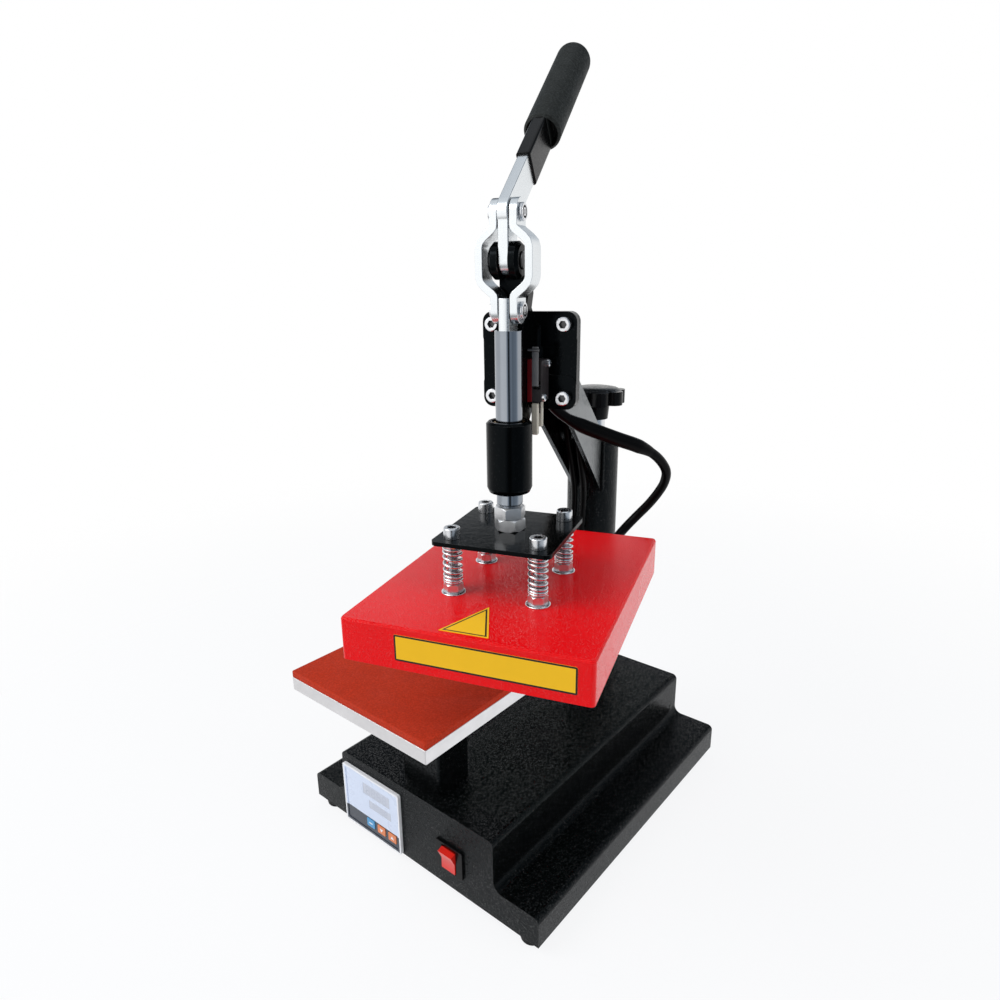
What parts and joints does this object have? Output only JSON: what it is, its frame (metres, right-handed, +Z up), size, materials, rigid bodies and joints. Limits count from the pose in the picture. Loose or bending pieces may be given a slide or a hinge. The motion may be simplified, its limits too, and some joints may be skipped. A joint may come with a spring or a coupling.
{
  "type": "logo heat press",
  "caption": "Swing-away logo heat press: a hand-lever toggle clamp pushes a sprung red heater down on a padded lower platen, with a temperature panel and rocker switch on the base.",
  "frame": {"origin": "on the table, under the middle of the base's footprint", "axes": "+X to the operator's right, -Y towards the operator, +Z up"},
  "size_m": [0.3175, 0.38, 0.6472],
  "materials": {
    "black_powder": "textured powder coat",
    "dark_sheet": "satin",
    "black_gloss": "gloss",
    "black_plastic": "gloss",
    "grip_foam": "matt",
    "rubber": "matt",
    "cable": "satin",
    "zinc": "zinc plated",
    "plated_steel": "bright plated",
    "dark_steel": "oiled",
    "bronze": "plain",
    "aluminium": "satin",
    "silicone": "matt",
    "red_paint": "gloss orange peel",
    "fibre": "matt",
    "white_plastic": "satin",
    "panel_face": "satin film",
    "panel_window": "film",
    "blue_key": "satin",
    "orange_key": "satin",
    "red_rocker": "gloss"
  },
  "bodies": {
    "base": {"base_shell": "black_powder", "base_floor": "dark_sheet", "rubber_feet": "rubber", "foot_screws": "zinc", "power_inlet": "black_plastic", "solid_state_relay": "white_plastic", "terminal_block": "black_plastic", "lead_grommet": "rubber", "controller_case": "white_plastic", "controller_face": "panel_face", "display_windows": "panel_window", "rocker_frame": "black_plastic", "pedestal": "black_powder", "pedestal_bolts": "zinc", "lower_platen": "aluminium", "platen_screws": "zinc", "silicone_pad": "silicone", "pivot_shaft": "dark_steel", "pivot_screws": "zinc", "thrust_washer": "bronze"},
    "head": {"swing_post": "black_powder", "post_bushes": "bronze", "arm_channel": "black_powder", "mounting_plate": "black_powder", "clamp_bracket": "black_gloss", "clamp_screws": "zinc", "guide_bush": "bronze", "fulcrum_pin": "dark_steel", "limit_switch": "black_gloss", "switch_screws": "zinc", "heater_cable": "cable", "post_leads": "cable"},
    "knob": {"knob_stud": "zinc", "clamp_knob": "black_plastic"},
    "lever": {"lever_bar": "plated_steel", "lever_sheath": "black_plastic", "lever_grip": "grip_foam", "crank_pin": "zinc"},
    "links": {"link_left": "plated_steel", "link_right": "plated_steel", "link_rivets": "zinc"},
    "ram": {"plunger": "plated_steel", "tongue_pin": "dark_steel", "lock_nuts": "zinc", "spring_plate": "black_gloss", "pressure_springs": "zinc"},
    "heater": {"guide_bolts": "zinc", "flange_washers": "zinc", "cover_nuts": "zinc", "heater_cover": "red_paint", "insulation": "fibre", "heating_element": "dark_steel", "heating_plate": "aluminium", "temperature_probe": "zinc", "cable_gland": "black_plastic"},
    "rocker": {"rocker_cap": "red_rocker"},
    "set_key": {"key_set": "blue_key"},
    "down_key": {"key_down": "orange_key"},
    "up_key": {"key_up": "orange_key"},
    "switch_leaf": {"switch_lever": "zinc"}
  },
  "joints": [
    {"name": "head_swing", "type": "hinge", "parent": "base", "child": "head", "pos_m": [0, 0.1155, 0.2], "axis": [0, 0, 1], "range_deg": [-18.7, 60], "deforming": ["post_leads"]},
    {"name": "lever_pivot", "type": "hinge", "parent": "head", "child": "lever", "pos_m": [0.07775, -0.1142, 0.491], "axis": [0.9472, 0.3206, 0], "range_deg": [0, 165]},
    {"name": "links_pivot", "type": "hinge", "parent": "lever", "child": "links", "pos_m": [0.07775, -0.1142, 0.519], "axis": [0.9472, 0.3206, 0], "range_deg": [-158, 0.2]},
    {"name": "ram_slide", "type": "slide", "parent": "head", "child": "ram", "axis": [0, 0, -1], "range_m": [-0.0002, 0.0547], "deforming": ["heater_cable"]},
    {"name": "platen_float", "type": "slide", "parent": "ram", "child": "heater", "axis": [0, 0, 1], "range_m": [0, 0.01], "stiffness_N_per_m": 16000, "deforming": ["pressure_springs", "heater_cable"]},
    {"name": "knob_turn", "type": "hinge", "parent": "base", "child": "knob", "pos_m": [0, 0.1155, 0.36], "axis": [0, 0, 1], "continuous": true},
    {"name": "rocker_tip", "type": "hinge", "parent": "base", "child": "rocker", "pos_m": [0.044, -0.151, 0.0375], "axis": [1, 0, 0], "range_deg": [-24, 0]},
    {"name": "set_key_press", "type": "slide", "parent": "base", "child": "set_key", "axis": [0, 1, 0], "range_m": [0, 0.0008], "stiffness_N_per_m": 300},
    {"name": "down_key_press", "type": "slide", "parent": "base", "child": "down_key", "axis": [0, 1, 0], "range_m": [0, 0.0008], "stiffness_N_per_m": 300},
    {"name": "up_key_press", "type": "slide", "parent": "base", "child": "up_key", "axis": [0, 1, 0], "range_m": [0, 0.0008], "stiffness_N_per_m": 300},
    {"name": "switch_leaf_press", "type": "hinge", "parent": "head", "child": "switch_leaf", "pos_m": [0.08298, -0.08973, 0.4115], "axis": [-0.9472, -0.3206, 0], "range_deg": [0, 5], "stiffness_Nm_per_rad": 0.02}
  ],
  "couplings": [
    {"joint": "links_pivot", "follows": "lever_pivot", "ratio": -0.9565},
    {"joint": "ram_slide", "follows": "lever_pivot", "m_per_rad": 0.018957}
  ]
}
